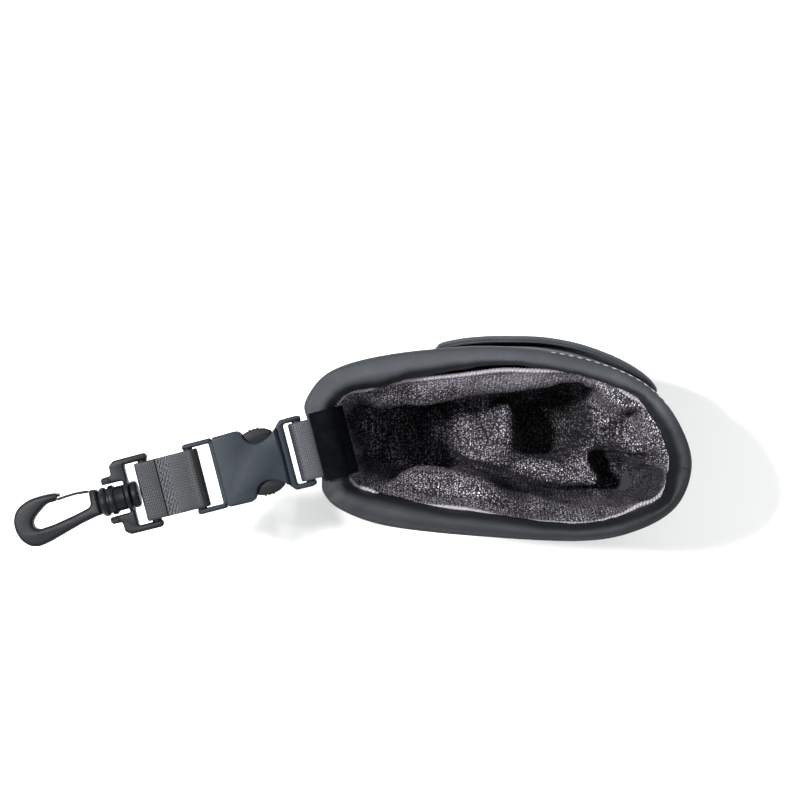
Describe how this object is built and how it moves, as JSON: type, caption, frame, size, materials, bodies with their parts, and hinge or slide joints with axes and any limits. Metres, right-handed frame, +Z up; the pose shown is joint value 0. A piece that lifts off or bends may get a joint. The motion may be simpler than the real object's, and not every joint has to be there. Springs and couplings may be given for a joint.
{
  "type": "treat pouch",
  "caption": "Open-topped sewn pouch with a rolled rim and glitter-knit lining, on a short clip strap with a side-release buckle and a swivelling snap hook.",
  "frame": {"origin": "middle of the pouch's flat base, on the surface it stands on", "axes": "+Z up out of the mouth, +X along the mouth away from the clip strap, +Y to the pouch's back, where the slip pocket is"},
  "size_m": [0.226, 0.0697, 0.1012],
  "materials": {
    "shell_cloth": "matte slate-black coated woven cloth",
    "lining_knit": "dark purple-grey warp knit with silver flecks",
    "overlock_thread": "pale lavender-grey overlock thread",
    "webbing": "smooth slate-grey nylon webbing with a slight sheen",
    "buckle_plastic": "satin slate-grey moulded acetal",
    "hook_plastic": "satin dark slate moulded acetal"
  },
  "bodies": {
    "pouch": {"front_panel": "shell_cloth", "back_panel": "shell_cloth", "base_panel": "shell_cloth", "back_pocket": "shell_cloth", "rim_band_front": "shell_cloth", "rim_band_back": "shell_cloth", "lining_front": "lining_knit", "lining_back": "lining_knit", "lining_base": "lining_knit", "lining_hem": "overlock_thread", "loop_webbing": "webbing"},
    "buckle": {"buckle_socket": "buckle_plastic", "buckle_insert": "buckle_plastic"},
    "prong_back": {"prong_back": "buckle_plastic"},
    "prong_front": {"prong_front": "buckle_plastic"},
    "strap": {"strap_webbing": "webbing"},
    "hook_frame": {"hook_base": "hook_plastic"},
    "hook": {"swivel_stud": "hook_plastic", "hook_body": "hook_plastic"},
    "gate": {"hook_gate": "hook_plastic"}
  },
  "joints": [
    {"name": "loop_pivot", "type": "hinge", "parent": "pouch", "child": "buckle", "pos_m": [-0.06441, -0.00267, 0.0956], "axis": [0.2487, -0.9686, 0], "range_deg": [-60, 75]},
    {"name": "prong_back_squeeze", "type": "hinge", "parent": "buckle", "child": "prong_back", "pos_m": [-0.0911, -0.00086, 0.0956], "axis": [0, 0, -1], "range_deg": [0, 13], "stiffness_Nm_per_rad": 0.15},
    {"name": "prong_front_squeeze", "type": "hinge", "parent": "buckle", "child": "prong_front", "pos_m": [-0.08692, -0.01713, 0.0956], "axis": [0, 0, 1], "range_deg": [0, 13], "stiffness_Nm_per_rad": 0.15},
    {"name": "strap_pivot", "type": "hinge", "parent": "buckle", "child": "strap", "pos_m": [-0.10054, -0.01195, 0.0956], "axis": [-0.2487, 0.9686, 0], "range_deg": [-75, 75]},
    {"name": "hook_frame_pivot", "type": "hinge", "parent": "strap", "child": "hook_frame", "pos_m": [-0.11565, -0.01583, 0.0956], "axis": [0.2487, -0.9686, 0], "range_deg": [-75, 75]},
    {"name": "hook_swivel", "type": "hinge", "parent": "hook_frame", "child": "hook", "pos_m": [-0.1202, -0.017, 0.0956], "axis": [0.9686, 0.2487, 0], "continuous": true},
    {"name": "gate_flex", "type": "hinge", "parent": "hook", "child": "gate", "pos_m": [-0.1367, -0.01628, 0.0956], "axis": [0, 0, 1], "range_deg": [0, 22], "stiffness_Nm_per_rad": 0.02}
  ],
  "couplings": [
    {"joint": "prong_front_squeeze", "follows": "prong_back_squeeze", "ratio": 1}
  ]
}
